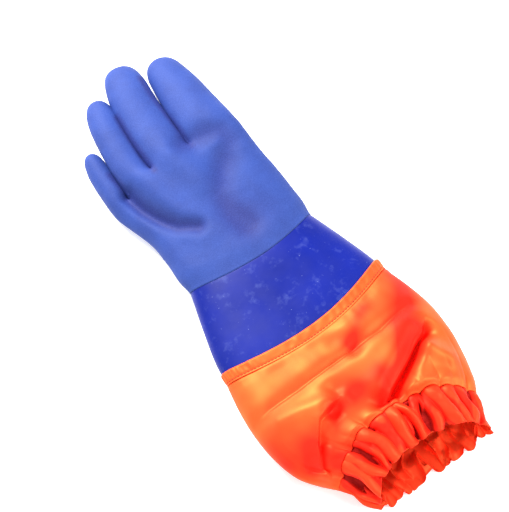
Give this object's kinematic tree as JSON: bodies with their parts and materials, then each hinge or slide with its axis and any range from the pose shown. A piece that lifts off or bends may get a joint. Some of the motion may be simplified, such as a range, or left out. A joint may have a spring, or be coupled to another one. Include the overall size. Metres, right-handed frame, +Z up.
{
  "type": "long-sleeved protective glove",
  "caption": "Left-hand coated gauntlet with a loose cloth sleeve that ends in a gathered elastic cuff, lying palm down, open and hollow.",
  "frame": {"origin": "on the floor below the middle of the whole glove's box", "axes": "+Z up from the palm to the back of the hand, +Y from the cuff's mouth to the fingertips, +X to the thumb's side"},
  "size_m": [0.1962, 0.4792, 0.0541],
  "materials": {
    "grained_pvc": "matt light-blue PVC with a fine sandy grain",
    "smooth_pvc": "smooth dark-blue PVC with a soft gloss",
    "nylon": "orange satin nylon with a soft sheen"
  },
  "bodies": {
    "root": {"hand": "grained_pvc", "gauntlet": "smooth_pvc", "sleeve_hem": "nylon", "sleeve": "nylon", "gathered_cuff": "nylon"}
  },
  "joints": []
}
